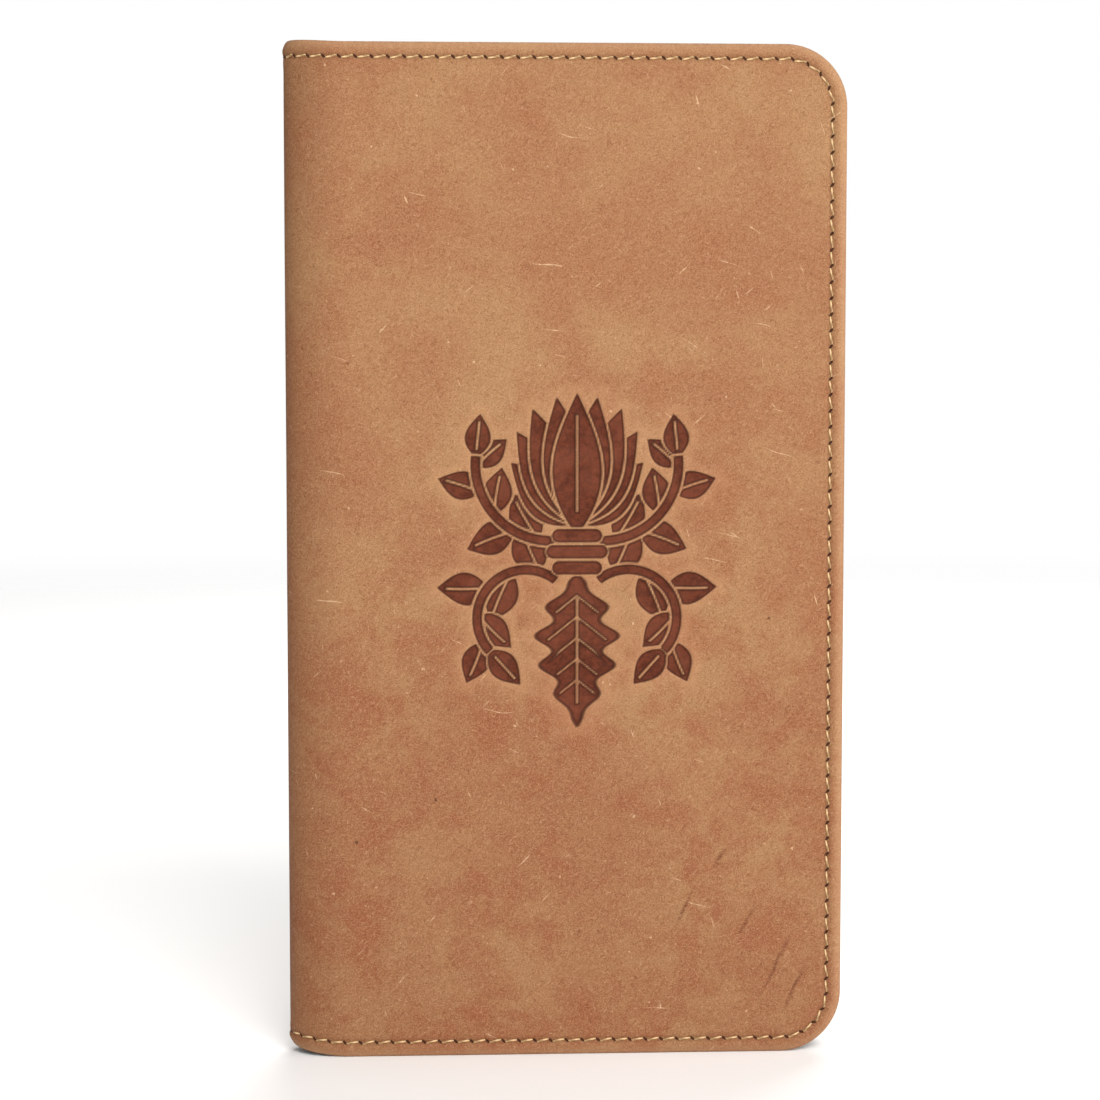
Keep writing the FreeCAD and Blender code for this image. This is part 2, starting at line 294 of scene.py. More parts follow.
def grid_lines(*groups):
    """Sorted positions from several groups, without near repeats."""
    values = np.sort(np.concatenate(groups))
    keep = np.concatenate([[True], np.diff(values) > 1e-4])
    return values[keep]


def spread(start, end, step):
    return np.linspace(start, end, max(2, math.ceil((end - start) / step) + 1))


def rimmed(low, high, first, rim, fine, coarse):
    """Positions from low to high, closer together in a rim at both ends; the ends are left out."""
    ends = spread(first, rim, fine)
    return grid_lines(low + ends, spread(low + rim, high - rim, coarse), high - ends)


def cover_place(side):
    """Where sheet() puts the points of a layer of one cover."""
    return lambda u, v, depth: on_cover(u, v, depth, side)


def even(depth):
    """The same depth everywhere, for sheet()."""
    return lambda u, v, edge: np.full_like(u, depth)


def layer_outline(left, inset):
    """The cover's outline drawn in by an inset, from a given left end."""
    return Outline(left, COVER_LENGTH - inset, inset, COVER_HEIGHT - inset, CORNER_RADIUS - inset)


# ---------------- meshes

def make_piece(name, points, faces, material, values=None, sharp=()):
    """A smooth-shaded piece from points in millimetres, with named values stored at its points."""
    mesh = bpy.data.meshes.new(name)
    mesh.from_pydata((np.asarray(points) * MM).tolist(), [], faces)
    for key, value in (values or {}).items():
        is_vector = np.ndim(value) == 2
        kind, field = ("FLOAT_VECTOR", "vector") if is_vector else ("FLOAT", "value")
        attribute = mesh.attributes.new(key, kind, "POINT")
        attribute.data.foreach_set(field, np.asarray(value, np.float32).ravel())
    shaped = bmesh.new()
    shaped.from_mesh(mesh)
    bmesh.ops.recalc_face_normals(shaped, faces=shaped.faces)
    shaped.verts.ensure_lookup_table()
    for first, second in sharp:
        edge = shaped.edges.get((shaped.verts[first], shaped.verts[second]))
        if edge:
            edge.smooth = False
    shaped.to_mesh(mesh)
    shaped.free()
    for face in mesh.polygons:
        face.use_smooth = True
    piece = bpy.data.objects.new(name, mesh)
    bpy.context.scene.collection.objects.link(piece)
    mesh.materials.append(material)
    return piece


def stand_for(piece, *nodes, body=None):
    """Puts a piece in the place of CAD nodes, and on a body that carries it if one is given.
    """
    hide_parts(*nodes)
    if body:
        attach(piece, body)


def grid_faces(columns, rows, number):
    """Quads of a grid whose points are numbered by number(column, row)."""
    return [
        (number(i, j), number(i + 1, j), number(i + 1, j + 1), number(i, j + 1))
        for i in range(columns - 1)
        for j in range(rows - 1)
    ]


def three_sides(columns, rows):
    """Numbers of a grid's points along its foot, its right-hand side and back along its head."""
    foot = [i * rows for i in range(columns)]
    right = [(columns - 1) * rows + j for j in range(1, rows)]
    head = [i * rows + rows - 1 for i in range(columns - 2, -1, -1)]
    return foot + right + head


def sheet(name, outline, columns, rows, low_depth, thickness, place, material):
    """A closed thin sheet with rounded edges.  low_depth(u, v, edge) gives its outer face."""
    edge_levels = thickness / 2 * np.array([0.0, 0.08, 0.3, 1.0])
    left_levels = outline.left + edge_levels
    right_levels = outline.right - edge_levels
    columns = grid_lines(left_levels, columns, right_levels)
    rows = grid_lines(outline.foot + edge_levels, rows, outline.head - edge_levels)
    count_u, count_v = len(columns), len(rows)
    u, v = np.meshgrid(columns, rows, indexing="ij")
    u, v, edge = outline.place(u, v)
    middle = low_depth(u, v, edge) + thickness / 2
    fullness = np.sqrt(1 - (1 - np.clip(edge * 2 / thickness, 0, 1)) ** 2)
    half = thickness / 2 * fullness
    outer = place(u, v, middle - half).reshape(-1, 3)
    inner = place(u, v, middle + half).reshape(-1, 3)

    on_rim = np.zeros((count_u, count_v), bool)
    on_rim[[0, -1], :] = True
    on_rim[:, [0, -1]] = True
    inner_number = np.cumsum(~on_rim.ravel()) - 1 + count_u * count_v
    inner_number = np.where(on_rim.ravel(), np.arange(count_u * count_v), inner_number)
    points = np.concatenate([outer, inner[~on_rim.ravel()]])
    faces = grid_faces(count_u, count_v, lambda i, j: i * count_v + j)
    faces += grid_faces(count_u, count_v, lambda i, j: int(inner_number[i * count_v + j]))

    flat = np.stack([u, v, np.zeros_like(u)], axis=-1).reshape(-1, 3)
    all_flat = np.concatenate([flat, flat[~on_rim.ravel()]])
    all_edge = np.concatenate([edge.ravel(), edge.ravel()[~on_rim.ravel()]])
    return make_piece(name, points, faces, material, {"sheet": all_flat, "edge": all_edge})


def tubes(name, centre_lines, ups, radius, material, twists=0.0, sides=8):
    """Round threads or wires along centre lines, tapered at both ends, in one piece."""
    points, faces, along = [], [], []
    around = np.linspace(0, 2 * math.pi, sides, endpoint=False)
    for line, up in zip(centre_lines, ups):
        start = len(points)
        tangent = np.gradient(line, axis=0)
        tangent /= np.linalg.norm(tangent, axis=1)[:, None]
        aside = np.cross(tangent, up)
        aside /= np.linalg.norm(aside, axis=1)[:, None]
        above = np.cross(aside, tangent)
        share = np.linspace(0, 1, len(line))
        taper = np.clip(np.minimum(share, 1 - share) * 8, 0.35, 1) ** 0.5
        for place, side_way, up_way, size, step in zip(line, aside, above, taper, share):
            ply = 1 + (0.16 if twists else 0) * np.cos(2 * (around - twists * math.pi * step))
            ring = (radius * size * ply)[:, None]
            ring = ring * (np.cos(around)[:, None] * side_way + np.sin(around)[:, None] * up_way)
            points.extend(place + ring)
            along.extend([(step * len(line), angle, 0.0) for angle in around])
        for i in range(len(line) - 1):
            for j in range(sides):
                low, next_low = start + i * sides + j, start + i * sides + (j + 1) % sides
                faces.append((low, next_low, next_low + sides, low + sides))
        faces.append(tuple(range(start, start + sides)))
        faces.append(tuple(range(len(points) - sides, len(points))))
    return make_piece(name, points, faces, material, {"sheet": np.array(along)})


# ---------------- ornament

def leaf(x, z, foot, lean, length, width, curve=0.0, lobes=0, ribbed=True):
    """Distance from a pointed leaf that leans from upright: negative inside, bare on its rib."""
    angle = math.radians(lean)
    dx, dz = x - foot[0], z - foot[1]
    along = (dx * math.sin(angle) + dz * math.cos(angle)) / length
    across = np.abs(dx * math.cos(angle) - dz * math.sin(angle) - curve * length * along ** 2)
    belly = np.sin(math.pi * np.clip(along, 0, 1) ** 0.85)
    if lobes:
        belly = belly * (0.8 + 0.2 * np.cos(2 * math.pi * lobes * along))
    steepness = width / length * (0.6 + 0.55 * lobes)
    side = (across - width / 2 * belly) / math.hypot(1, steepness)
    beyond = np.maximum(-along, along - 1) * length
    shape = np.maximum(side, beyond)
    if ribbed:
        past_rib = np.maximum(0.15 - along, along - 0.85) * length
        shape = np.maximum(shape, -np.maximum(across - RIB_HALF_WIDTH, past_rib))
    if lobes:
        rising = (along * length - 0.8 * across) / VEIN_SPACING
        veins = np.abs(rising - np.round(rising)) * VEIN_SPACING * 0.78 - RIB_HALF_WIDTH * 0.8
        past_veins = np.maximum(0.12 - along, along - 0.8) * length
        near_rim = across - width / 2 * belly * 0.78
        shape = np.maximum(shape, -np.maximum(veins, np.maximum(near_rim, past_veins)))
    return shape


def overlay(under, shape, gap=0.75):
    """A shape pressed over earlier ones, with an undyed line left round it."""
    return np.minimum(np.maximum(under, gap - shape), shape)


def spray(under, x, z, centre, radius, start, end, count, size):
    """A curved stem with leaves on alternate sides; angles are counted from +x, in degrees."""
    way = 1 if end > start else -1
    for number in range(count):
        share = (number + 0.6) / count
        angle = math.radians(start + (end - start) * share)
        foot = (centre[0] + radius * math.cos(angle), centre[1] + radius * math.sin(angle))
        heading = 90 - math.degrees(angle) - 90 * way
        swing = 1 if number % 2 else -1
        length = size * (1.1 - 0.3 * share)
        lean = heading + 44 * swing
        under = overlay(under, leaf(x, z, foot, lean, length, length * 0.64, 0.11 * swing))
    angle = math.radians(end)
    tip = (centre[0] + radius * math.cos(angle), centre[1] + radius * math.sin(angle))
    under = overlay(under, leaf(x, z, tip, 90 - end - 90 * way, size * 0.85, size * 0.5))
    turn = np.degrees(np.arctan2(z - centre[1], x - centre[0]))
    middle = (start + end) / 2
    off_arc = np.abs((turn - middle + 180) % 360 - 180) - abs(end - start) / 2
    stem = np.abs(np.hypot(x - centre[0], z - centre[1]) - radius) - STEM_HALF_WIDTH
    return overlay(under, np.maximum(stem, off_arc * 0.3))


def ornament(x, z):
    """Distance from a symmetrical bunch of leaves, negative inside; the middle is at 0, 0."""
    across = np.abs(x)
    top, wide = ORNAMENT_HALF_HEIGHT, ORNAMENT_HALF_WIDTH
    shape = np.full_like(x, NO_STAMP)
    shape = spray(shape, across, z, (11.2, -12.5), 10.6, 128, -42, 5, 11.6)
    shape = spray(shape, across, z, (5.5, 21.0), 16.6, -92, 6, 5, 10.8)
    for lean, reach in ((50, 0.7), (36, 0.82), (24, 0.9), (12, 0.93)):
        side_leaf = leaf(across, z, (0, 8), lean, top * reach - 6, 9.5, -0.05, ribbed=False)
        shape = overlay(shape, side_leaf)
    shape = overlay(shape, leaf(across, z, (0, 6), 0, top - 6, 10.5))
    shape = overlay(shape, leaf(across, z, (0, -3), 180, top - 3, wide * 0.62, lobes=5))
    for height in (5.5, 2.0, -1.5):
        half_width = 5.2 - abs(height - 2) * 0.35
        bar = np.hypot(np.maximum(across - half_width, 0), z - height) - 1.35
        shape = overlay(shape, bar, 0.6)
    return shape


# ---------------- leather

EDGE_ROUND = HEM_DEPTH / 2
EDGE_ROUND_WIDTH = 2.5
ROUND_TURNS = np.radians([0, 15, 30, 45, 60, 75, 90])
EDGE_LEVELS = np.concatenate([
    EDGE_ROUND_WIDTH * (1 - np.cos(ROUND_TURNS)),
    spread(EDGE_ROUND_WIDTH, 6.0, 0.4),
    spread(6.0, CORNER_RADIUS, 0.95),
])
SPINE_LEVELS = np.array([0.0, 0.04, 0.2, 0.45, 0.7, 1.0, 1.4])


def relief(u, v, edge, side):
    """How far the outer face lies under its plain shape: rim, stitch valley and soft waves."""
    rim = EDGE_ROUND * (1 - np.sqrt(1 - np.clip(1 - edge / EDGE_ROUND_WIDTH, 0, 1) ** 2))
    pillow = -0.16 * bell(edge - 2.1, 0.8)
    valley = VALLEY_DEPTH * (0.3 + 0.7 * smooth(u, 0, 5)) * bell(edge - STITCH_INSET, 0.75)
    field = 0.1 * smooth(edge, STITCH_INSET, 6.5)
    slow = np.sin(u / 21 + side) * np.sin(v / 34 + 0.6) + 0.6 * np.sin(u / 9.5 + v / 17)
    waves = 0.05 * slow * smooth(edge, 5, 14)
    return rim + pillow + valley + field + waves


def row_length(u, v):
    """Length along the row of stitches, from the spine round to the spine, of points beside it."""
    straight = COVER_LENGTH - CORNER_RADIUS
    near_u = np.minimum(u, straight)
    near_v = np.clip(v, CORNER_RADIUS, COVER_HEIGHT - CORNER_RADIUS)
    turn = np.arctan2(u - near_u, near_v - v)
    past_half = turn > math.pi / 2 + 1e-6
    run = np.where(past_half, 2 * straight - near_u, near_u)
    return run + (CORNER_RADIUS - STITCH_INSET) * turn + near_v - CORNER_RADIUS


ROW_TOTAL = (
    2 * (COVER_LENGTH - CORNER_RADIUS)
    + math.pi * (CORNER_RADIUS - STITCH_INSET)
    + COVER_HEIGHT - 2 * CORNER_RADIUS
)
STITCH_COUNT = round(ROW_TOTAL / STITCH_PITCH)
PITCH = ROW_TOTAL / STITCH_COUNT


def row_place(length):
    """Where the row of stitches runs at a length along it, and the direction inwards."""
    straight = COVER_LENGTH - CORNER_RADIUS
    radius = CORNER_RADIUS - STITCH_INSET
    corner = radius * math.pi / 2
    side = COVER_HEIGHT - 2 * CORNER_RADIUS
    first_turn = np.clip(length - straight, 0, corner)
    turn = first_turn + np.clip(length - straight - corner - side, 0, corner)
    turn = turn / radius
    up = np.clip(length - straight - corner, 0, side)
    back = np.clip(length - straight - 2 * corner - side, 0, None)
    centre_u = np.minimum(length, straight) - back
    centre_v = CORNER_RADIUS + up
    in_u, in_v = -np.sin(turn), np.cos(turn)
    return centre_u - radius * in_u, centre_v - radius * in_v, in_u, in_v


def outer_face(columns, rows, side):
    """Values over the grid of one cover and its half of the spine: u, v, depth, edge, stamp."""
    u, v = np.meshgrid(columns, rows, indexing="ij")
    u, v, edge = COVER.place(u, v)
    depth = relief(u, v, edge, side)
    stamp = np.full_like(u, NO_STAMP)
    if side > 0:
        stamp = ornament(u - u_at(ORNAMENT_X), v - ORNAMENT_Z)
        pressed = STAMP_DEPTH * (1 - smooth(stamp, -0.35, 0.3))
        depth = depth + pressed - 0.1 * bell(stamp - 0.8, 0.7)
    return [values.ravel() for values in (u, v, depth, edge, stamp)]


def hem_rings(u, v):
    """The same values for each ring of the edge that is turned in, from its outline in u and v."""
    in_u, in_v = COVER.inward(u, v)
    rounded = [
        (EDGE_ROUND * (1 - math.cos(turn)), EDGE_ROUND * (1 + math.sin(turn)))
        for turn in ROUND_TURNS[1:]
    ]
    hem = [(4.0, HEM_DEPTH), (HEM_WIDTH, HEM_DEPTH), (HEM_WIDTH, LEATHER)]
    return [
        [u + in_u * inset, v + in_v * inset]
        + [np.full_like(u, value) for value in (depth, -inset, NO_STAMP)]
        for inset, depth in rounded + hem
    ]


def leather_piece(name, side, columns, rows, material):
    """Half of the leather: one cover and its half of the spine, edges turned in, closed inside."""
    count_u, count_v = len(columns), len(rows)
    outer = outer_face(columns, rows, side)
    faces = grid_faces(count_u, count_v, lambda i, j: i * count_v + j)
    loop = three_sides(count_u, count_v)
    hem = hem_rings(outer[0][loop], outer[1][loop])
    last = len(loop) - 1
    rings = [loop]
    for number in range(len(hem)):
        first = count_u * count_v + number * len(loop)
        rings.append(list(range(first, first + len(loop))))
    for outside, inside in zip(rings, rings[1:]):
        faces += [
            (outside[k], outside[k + 1], inside[k + 1], inside[k]) for k in range(last)
        ]

    inside = rings[-1]
    straight_columns = int(np.sum(columns <= COVER_LENGTH - CORNER_RADIUS + 1e-6))
    for i in range(straight_columns - 1):
        faces.append((inside[i], inside[i + 1], inside[last - i - 1], inside[last - i]))
    faces.append(tuple(inside[straight_columns - 1:last - straight_columns + 2]))

    seam = list(range(count_v)) + [ring[last] for ring in rings[1:]]
    seam += [ring[0] for ring in reversed(rings[1:])]
    faces.append(tuple(seam))
    sharp = list(zip(seam, seam[1:] + seam[:1]))

    u, v, depth, edge, stamp = (np.concatenate(values) for values in zip(outer, *hem))
    values = {
        "sheet": np.stack([u, v, np.full_like(u, side * FRONT_LAYER)], axis=-1),
        "edge": edge,
        "row": row_length(u, v),
        "stamp": np.clip(stamp, -NO_STAMP, NO_STAMP),
    }
    return make_piece(name, on_cover(u, v, depth, side), faces, material, values, sharp)


def across_fold(piece, side):
    """Bakes the piece's placement into its points, the same way for either cover."""
    if side > 0:
        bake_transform(piece)
    else:
        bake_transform(piece)


def leather_covers(material):
    far_corner = COVER_LENGTH - CORNER_RADIUS
    corner_columns = COVER_LENGTH - EDGE_LEVELS
    end_rows = grid_lines(EDGE_LEVELS, COVER_HEIGHT - EDGE_LEVELS)
    margin = 1.5
    left = u_at(ORNAMENT_X) - (ORNAMENT_HALF_WIDTH + margin)
    right = u_at(ORNAMENT_X) + (ORNAMENT_HALF_WIDTH + margin)
    low = ORNAMENT_Z - ORNAMENT_HALF_HEIGHT - margin
    high = ORNAMENT_Z + ORNAMENT_HALF_HEIGHT + margin
    front_columns = grid_lines(
        SPINE_LEVELS, spread(1.4, left, 1.0), spread(left, right, STAMP_CELL),
        spread(right, far_corner, 1.0), corner_columns,
    )
    front_rows = grid_lines(
        end_rows, spread(CORNER_RADIUS, low, 1.2), spread(low, high, STAMP_CELL),
        spread(high, COVER_HEIGHT - CORNER_RADIUS, 1.2),
    )
    back_columns = grid_lines(SPINE_LEVELS, spread(1.4, far_corner, 1.2), corner_columns)
    back_rows = grid_lines(end_rows, spread(CORNER_RADIUS, COVER_HEIGHT - CORNER_RADIUS, 1.4))
    front = leather_piece("leather_front", 1, front_columns, front_rows, material)
    stand_for(front, "outer_leather_front", "outer_leather_spine")
    back = leather_piece("leather_back", -1, back_columns, back_rows, material)
    stand_for(back, "outer_leather_back")
    across_fold(front, 1)
    across_fold(back, -1)


# ---------------- stitches

def stitch_lines(lengths, side, surface_depth, way):
    """Centre lines of slanted stitches.  way is 1 on the outer face and -1 on the inner face."""
    lines, ups = [], []
    share = np.linspace(-1, 1, 9)
    for length in lengths:
        along = length + share * STITCH_LENGTH / 2
        u, v, in_u, in_v = row_place(np.clip(along, 0, ROW_TOTAL))
        u = u + np.minimum(along, 0) - np.maximum(along - ROW_TOTAL, 0)
        slant = STITCH_SLANT * (1 + 0.3 * math.sin(1.3 * length))
        u = u + in_u * slant * share
        v = v + in_v * slant * share
        lift = 0.1 * (1 - share ** 2) - 0.55 * np.abs(share) ** 5
        depth = surface_depth(length) - way * lift
        line = on_cover(u, v, depth, side)
        above = on_cover(u, v, depth - way, side) - line
        lines.append(line)
        ups.append(above)
    return lines, ups


def inner_seam_depth(length):
    """The inner stitches lie on the sleeve, or on the lining near the spine."""
    u = row_place(np.array(length))[0]
    on_sleeve = u > u_at(SLEEVE_MOUTH_X)
    return LINING_DEPTH + LINING + (SLEEVE + 0.05 if on_sleeve else 0)


def edge_stitching(material):
    lengths = [number * PITCH for number in range(1, STITCH_COUNT)]
    for name, side in COVERS:
        outer, outer_ups = stitch_lines(lengths, side, lambda length: VALLEY_DEPTH - 0.02, 1)
        inner, inner_ups = stitch_lines(lengths, side, inner_seam_depth, -1)
        piece = tubes(
            "stitches_" + name, outer + inner, outer_ups + inner_ups,
            STITCH_RADIUS, material, twists=5.0,
        )
        stand_for(piece, "edge_stitching_" + name)
        across_fold(piece, side)
    ends = [0.0, ROW_TOTAL]
    outer, outer_ups = stitch_lines(ends, 1, lambda length: VALLEY_DEPTH - 0.02, 1)
    piece = tubes("stitches_spine", outer, outer_ups, STITCH_RADIUS, material, twists=5.0)
    stand_for(piece, "edge_stitching_spine", body="spine")


# ---------------- boards, linings, sleeves, pockets

def boards(material):
    """Boards between the hems, as far as the covers are flat, and a strip in the spine."""
    inset = HEM_WIDTH + 0.2
    thickness = HEM_DEPTH - BOARD_DEPTH
    for name, side in COVERS:
        outline = layer_outline(u_at(BEND_X) + 1, inset)
        piece = sheet(
            "board_" + name, outline, spread(outline.left, outline.right, 1.5),
            spread(outline.foot, outline.head, 1.5),
            even(BOARD_DEPTH), thickness, cover_place(side), material,
        )
        stand_for(piece, "stiffener_board_" + name, body=name + "_cover")
    half_width = 2.2
    outline = Outline(-half_width, half_width, inset, COVER_HEIGHT - inset, 0.5, 0.5)
    piece = sheet(
        "spine_strip", outline, spread(-half_width, half_width, 0.3),
        spread(outline.foot, outline.head, LONG_STEP),
        even(BOARD_DEPTH), thickness, cover_place(1), material,
    )
    stand_for(piece, "spine_stiffener", body="spine")


def linings(material):
    """A cloth for each cover, up to the middle of the spine, pressed in at the seam."""
    for replaced, side in ((("front", "spine"), 1), (("back",), -1)):
        outline = layer_outline(0.02, LINING_INSET)
        columns = grid_lines(
            spread(outline.left, BEND_LENGTH, 0.6), spread(BEND_LENGTH, outline.right, 1.6),
        )
        piece = sheet(
            "lining_cloth_" + replaced[0], outline, columns,
            spread(outline.foot, outline.head, 1.6),
            lambda u, v, edge: LINING_DEPTH + 0.06 * bell(edge - STITCH_INSET + LINING_INSET, 0.8),
            LINING, cover_place(side), material,
        )
        stand_for(piece, *("lining_" + name for name in replaced))
        across_fold(piece, side)


def sleeve_depth(u, v, edge):
    """Outer face of a sleeve: pressed down at its seam, lifted by the card behind it elsewhere."""
    seam = np.minimum(COVER_LENGTH - u, np.minimum(v, COVER_HEIGHT - v))
    lifted = smooth(seam, STITCH_INSET, NOTEBOOK_TAIL)
    mouth = u - u_at(SLEEVE_MOUTH_X)
    crease = 0.14 * bell(mouth - 2.4, 0.4)
    sag = 0.12 * np.sin(v / 23.0) * np.sin(u / 19.0) * smooth(seam, 6, 20)
    lowest = LINING_DEPTH + LINING + 0.05
    return lowest + lifted * (SLEEVE_FACE - SLEEVE - lowest) - crease + np.minimum(sag, 0.0)


def sleeves(material):
    outline = layer_outline(u_at(SLEEVE_MOUTH_X), LINING_INSET)
    columns = rimmed(outline.left, outline.right, 0.4, 6.0, 0.6, 1.6)
    rows = rimmed(outline.foot, outline.head, 0.4, 6.0, 0.6, 1.6)
    for name, side in COVERS:
        piece = sheet(
            "sleeve_leather_" + name, outline, columns, rows, sleeve_depth, SLEEVE,
            cover_place(side), material,
        )
        stand_for(piece, "sleeve_" + name, body=name + "_cover")


def pocket(name, material):
    """One card pocket, creased under its top edge and drawn in along its seam."""
    low, high = corners("card_pocket_" + name)
    start, end = depths("card_pocket_" + name)
    outline = Outline(u_at(low.x), u_at(high.x), low.z, high.z, 3.0, 3.0)
    columns = rimmed(outline.left, outline.right, 0.3, 4, 0.5, 1.8)
    crease_foot = high.z - 5
    rows = grid_lines(spread(low.z, crease_foot, 1.8), spread(crease_foot, high.z, 0.45))

    def pocket_face(u, v, edge):
        crease = 0.1 * bell(high.z - v - 2.0, 0.35)
        stitched = 0.1 * bell(edge - POCKET_SEAM, 0.5)
        return start - crease - stitched

    piece = sheet(
        "pocket_leather_" + name, outline, columns, rows, pocket_face, end - start,
        cover_place(1), material,
    )
    stand_for(piece, "card_pocket_" + name, body="front_cover")
    return outline, end


def pocket_run(first, last, depth):
    """A straight run of stitches over a pocket, between two places in u and v."""
    lines, ups = [], []
    along = np.linspace(-1, 1, 7)
    dip = 0.3 * along ** 4
    count = int(math.dist(first, last) / STITCH_PITCH)
    for number in range(count):
        share = (number + 0.5 + 0.42 * along) / count
        u = first[0] + (last[0] - first[0]) * share
        v = first[1] + (last[1] - first[1]) * share
        lines.append(on_cover(u, v, depth - dip, 1))
        ups.append(on_cover(u, v, depth + 1, 1) - on_cover(u, v, depth, 1))
    return lines, ups


def pockets(leather, sewing):
    """Three stepped card pockets; each one's seam is seen above the pocket that overlaps it."""
    made = [pocket(name, leather) for name in ("upper", "middle", "lower")]
    lines, ups = [], []
    end_gap = 0.4
    for number, (outline, depth) in enumerate(made):
        left, right = outline.left + POCKET_SEAM, outline.right - POCKET_SEAM
        is_last = number == len(made) - 1
        foot = outline.foot + POCKET_SEAM if is_last else made[number + 1][0].head + end_gap
        runs = [((u, foot), (u, outline.head - end_gap)) for u in (left, right)]
        if is_last:
            runs.append(((left, foot), (right, foot)))
        for first, last in runs:
            run_lines, run_ups = pocket_run(first, last, depth)
            lines += run_lines
            ups += run_ups
    piece = tubes("pocket_stitches", lines, ups, 0.2, sewing, twists=4.0, sides=6)
    stand_for(piece, "card_pocket_stitching", body="front_cover")


# ---------------- notebook

def cards(material):
    """Card covers of the notebook, rounded towards the fold, and the strip along the fold."""
    low, high = corners("notebook_card_front")
    thickness = CARD_FACE - CARD_DEPTH
    nose_reach = low.x - FOLD_X
    card_y = HALF_THICKNESS - CARD_DEPTH

    def card_place(u, v, depth, side):
        """Here u is plain x; beyond the flat part the card follows a quarter of an ellipse."""
        turn = np.clip((low.x - u) / nose_reach, 0, 1) * math.pi / 2
        height = card_y - depth - CARD_SINK * (1 - smooth(u, low.x, low.x + CARD_SINK_REACH))
        x = np.where(turn > 0, low.x - (nose_reach - depth) * np.sin(turn), u)
        y = height * np.cos(turn)
        return np.stack([x, -side * y, v], axis=-1)

    gap = 0.26 * nose_reach
    for name, side, body in (("front", 1, "notebook_front_card"), ("back", -1, "notebook")):
        outline = Outline(FOLD_X + gap, high.x, low.z, high.z, NOTEBOOK_CORNER)
        columns = grid_lines(spread(outline.left, low.x, 0.5), spread(low.x, high.x, 2.0))
        piece = sheet(
            "card_" + name, outline, columns, spread(low.z, high.z, 2.0), even(0), thickness,
            lambda u, v, depth: card_place(u, v, depth, side), material,
        )
        stand_for(piece, "notebook_card_" + name, body=body)

    def strip_place(u, v, depth):
        """Here u is an angle round the fold, in degrees, and rises towards the back card."""
        turn = np.radians(u)
        x = low.x - (nose_reach - depth) * np.cos(turn)
        y = (card_y - CARD_SINK - depth) * np.sin(turn)
        return np.stack([x, y, v], axis=-1)

    outline = Outline(STRIP_START, STRIP_END, low.z, high.z, 0.2, 0.2)
    piece = sheet(
        "card_fold", outline, spread(STRIP_START, STRIP_END, 4.0),
        spread(low.z, high.z, LONG_STEP), even(0), thickness, strip_place, material,
    )
    stand_for(piece, "notebook_card_spine", body="notebook")


def staples(material):
    """Bent wire: a crown outside the fold and two legs that pass through it."""
    low, high = corners("notebook_staples")
    wire = 0.2
    length = 12.0
    radius = 0.5
    x, y = low.x + wire, (low.y + high.y) / 2
    legs_end = high.x - wire
    bend = np.radians(np.linspace(0, 90, 5))
    inward = radius * (1 - np.sin(bend))
    outward = radius * (1 - np.cos(bend))
    lines, ups = [], []
    for foot in (low.z, high.z - length):
        bottom, top = foot + wire, foot + length - wire
        lower = [(x + dx, y, bottom + dz) for dx, dz in zip(inward, outward)]
        upper = [(x + dx, y, top - dz) for dx, dz in zip(outward, inward)]
        line = [(legs_end, y, bottom)] + lower + upper + [(legs_end, y, top)]
        lines.append(np.array(line))
        ups.append(np.tile([0.0, 1.0, 0.0], (len(line), 1)))
    piece = tubes("staples_wire", lines, ups, wire, material, sides=10)
    stand_for(piece, "notebook_staples", body="notebook")


def leaf_profile(height, nest, fore_x, wave):
    """Middle line of one leaf in x and y: nearly flat, and rounded in where the sheets nest."""
    fold_x = FOLD_X + FIRST_LEAF_GAP + nest * LEAF_NEST
    stack_low = corners("leaves_front_outer")[0].y
    stack_high = corners("leaves_back_outer")[1].y
    stack_y = (stack_low + stack_high) / 2
    fold_y = sum(corners("notebook_staples")[end].y for end in (0, 1)) / 2
    nose_reach = LEAF_NOSE_X - fold_x
    nose = LEAF_NOSE_X - nose_reach * np.sin(np.radians(np.linspace(90, 0, 9)))
    x = np.concatenate([nose, spread(LEAF_NOSE_X, fore_x, 8.0)[1:]])
    out = np.clip((LEAF_NOSE_X - x) / nose_reach, 0, 1)
    y = stack_y + (height - stack_y) * np.sqrt(1 - out ** 2) + (fold_y - stack_y) * out ** 2
    return x, y + 0.012 * math.sin(wave) * np.clip((x - LEAF_NOSE_X) / 40, 0, 1)


def leaf_sheet(x, y, tail, head, order, first):
    """Points, pattern coordinates and faces of one thin leaf with rounded fore-edge corners."""
    outline = Outline(x[0], x[-1], tail, head, NOTEBOOK_CORNER)
    extra = NOTEBOOK_CORNER * np.array([0, 0.15, 0.4, 0.7, 1.0])
    columns = grid_lines(x, outline.right - extra)
    rows = grid_lines(spread(tail, head, 24.0), tail + extra, head - extra)
    grid_x, grid_z = np.meshgrid(columns, rows, indexing="ij")
    grid_x, grid_z, _ = outline.place(grid_x, grid_z)
    middle_y = np.interp(grid_x, x, y)
    apart = np.full_like(grid_x, order * LEAF_APART)
    count_u, count_v = grid_x.shape
    count = count_u * count_v
    points, flat, faces = [], [], []
    for number, face_y in enumerate((middle_y - LEAF * 0.42, middle_y + LEAF * 0.42)):
        start = first + number * count
        points.extend(np.stack([grid_x, face_y, grid_z], axis=-1).reshape(-1, 3))
        flat.extend(np.stack([grid_x, grid_z, apart], axis=-1).reshape(-1, 3))
        faces += grid_faces(count_u, count_v, lambda i, j: start + i * count_v + j)
    rim = three_sides(count_u, count_v) + list(range(count_v - 2, 0, -1))
    faces += [
        (first + here, first + there, first + count + there, first + count + here)
        for here, there in zip(rim, rim[1:] + rim[:1])
    ]
    return points, flat, faces


